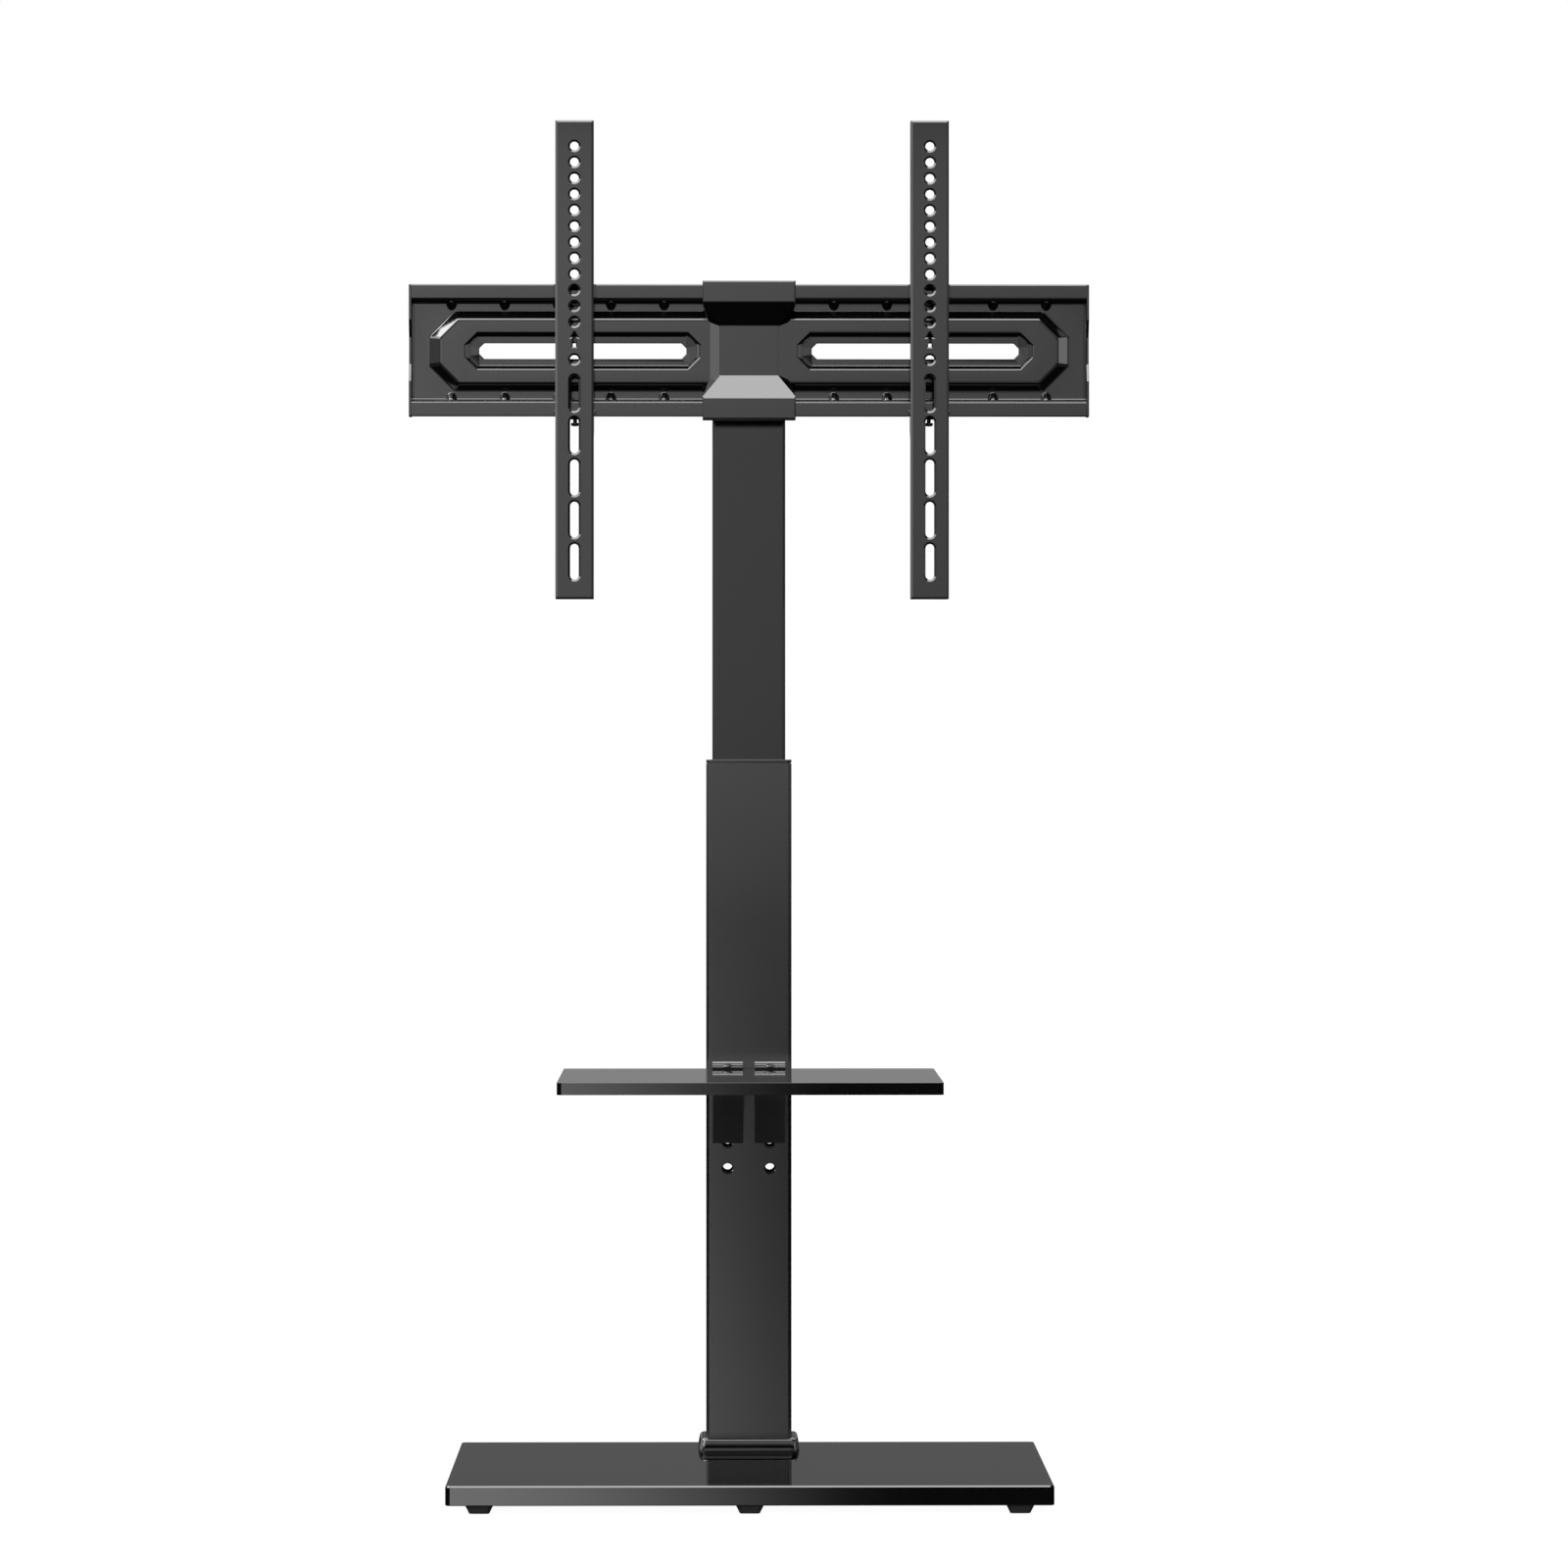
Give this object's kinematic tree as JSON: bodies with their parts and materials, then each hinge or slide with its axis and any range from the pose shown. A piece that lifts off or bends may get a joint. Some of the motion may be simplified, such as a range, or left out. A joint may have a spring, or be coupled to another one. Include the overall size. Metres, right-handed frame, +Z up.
{
  "type": "tv stand with mount",
  "caption": "Free-standing screen stand: flat gloss base on feet, telescopic post with a shelf, and a swivelling wall-plate head that carries sliding perforated arms.",
  "frame": {"origin": "bottom centre of the whole stand's bounding box, on the floor", "axes": "+X to the right and +Y away from someone who faces the screen side, +Z up"},
  "size_m": [0.6866, 0.474, 1.3854],
  "materials": {
    "gloss_board": "black high-gloss lacquer on board",
    "powder_coat": "satin black powder coat on sheet steel",
    "cover_plastic": "satin black moulded plastic",
    "gloss_plastic": "glossy black moulded plastic",
    "rubber": "matte black rubber",
    "dark_steel": "blackened steel screws",
    "nylon": "natural nylon"
  },
  "bodies": {
    "stand": {"base_board": "gloss_board", "base_underplate": "powder_coat", "base_bolt_1": "dark_steel", "base_bolt_2": "dark_steel", "base_bolt_3": "dark_steel", "base_bolt_4": "dark_steel", "foot_front_left": "rubber", "foot_front_centre": "rubber", "foot_front_right": "rubber", "foot_back_left": "rubber", "foot_back_centre": "rubber", "foot_back_right": "rubber", "outer_post": "powder_coat", "collar": "gloss_plastic", "post_cap": "cover_plastic", "lock_nut_lower": "powder_coat", "lock_nut_upper": "powder_coat", "shelf": "gloss_board", "shelf_bracket_left": "powder_coat", "shelf_bracket_right": "powder_coat", "shelf_pad_left": "rubber", "shelf_pad_right": "rubber", "shelf_clamp_left": "powder_coat", "shelf_clamp_right": "powder_coat", "shelf_screw_left": "dark_steel", "shelf_screw_right": "dark_steel", "shelf_nut_left": "dark_steel", "shelf_nut_right": "dark_steel", "post_bolt_left_low": "dark_steel", "post_bolt_left_high": "dark_steel", "post_bolt_right_low": "dark_steel", "post_bolt_right_high": "dark_steel", "post_nut_left_low": "dark_steel", "post_nut_left_high": "dark_steel", "post_nut_right_low": "dark_steel", "post_nut_right_high": "dark_steel"},
    "lower_lock": {"lock_screw_lower": "dark_steel", "lock_knob_lower": "cover_plastic"},
    "upper_lock": {"lock_screw_upper": "dark_steel", "lock_knob_upper": "cover_plastic"},
    "column": {"inner_post": "powder_coat", "inner_glide": "nylon", "inner_cap": "cover_plastic", "post_bracket": "powder_coat", "head_bolt_1": "dark_steel", "head_bolt_2": "dark_steel", "head_bolt_3": "dark_steel", "head_bolt_4": "dark_steel", "swivel_washer_lower": "nylon", "swivel_washer_upper": "nylon"},
    "head": {"wall_plate": "powder_coat", "plate_bracket": "powder_coat", "centre_cover": "cover_plastic", "swivel_pin": "dark_steel", "swivel_nut": "dark_steel"},
    "left_arm": {"left_arm": "powder_coat"},
    "right_arm": {"right_arm": "powder_coat"},
    "left_arm_lock": {"left_arm_screw": "dark_steel"},
    "right_arm_lock": {"right_arm_screw": "dark_steel"}
  },
  "joints": [
    {"name": "height_slide", "type": "slide", "parent": "stand", "child": "column", "axis": [0, 0, 1], "range_m": [-0.15, 0]},
    {"name": "swivel", "type": "hinge", "parent": "column", "child": "head", "pos_m": [0, 0.03775, 1.1557], "axis": [0, 0, 1], "range_deg": [-35, 35]},
    {"name": "left_arm_slide", "type": "slide", "parent": "head", "child": "left_arm", "axis": [1, 0, 0], "range_m": [-0.143, 0.105]},
    {"name": "right_arm_slide", "type": "slide", "parent": "head", "child": "right_arm", "axis": [1, 0, 0], "range_m": [-0.111, 0.137]},
    {"name": "left_arm_screw_turn", "type": "hinge", "parent": "left_arm", "child": "left_arm_lock", "pos_m": [-0.1757, 0.0045, 1.08], "axis": [0, 0, 1], "range_deg": [-360, 0]},
    {"name": "right_arm_screw_turn", "type": "hinge", "parent": "right_arm", "child": "right_arm_lock", "pos_m": [0.1816, 0.0045, 1.08], "axis": [0, 0, 1], "range_deg": [-360, 0]},
    {"name": "lower_knob_turn", "type": "hinge", "parent": "stand", "child": "lower_lock", "pos_m": [0, 0.13, 0.645], "axis": [0, 1, 0], "range_deg": [0, 360]},
    {"name": "upper_knob_turn", "type": "hinge", "parent": "stand", "child": "upper_lock", "pos_m": [0, 0.13, 0.705], "axis": [0, 1, 0], "range_deg": [0, 360]}
  ]
}
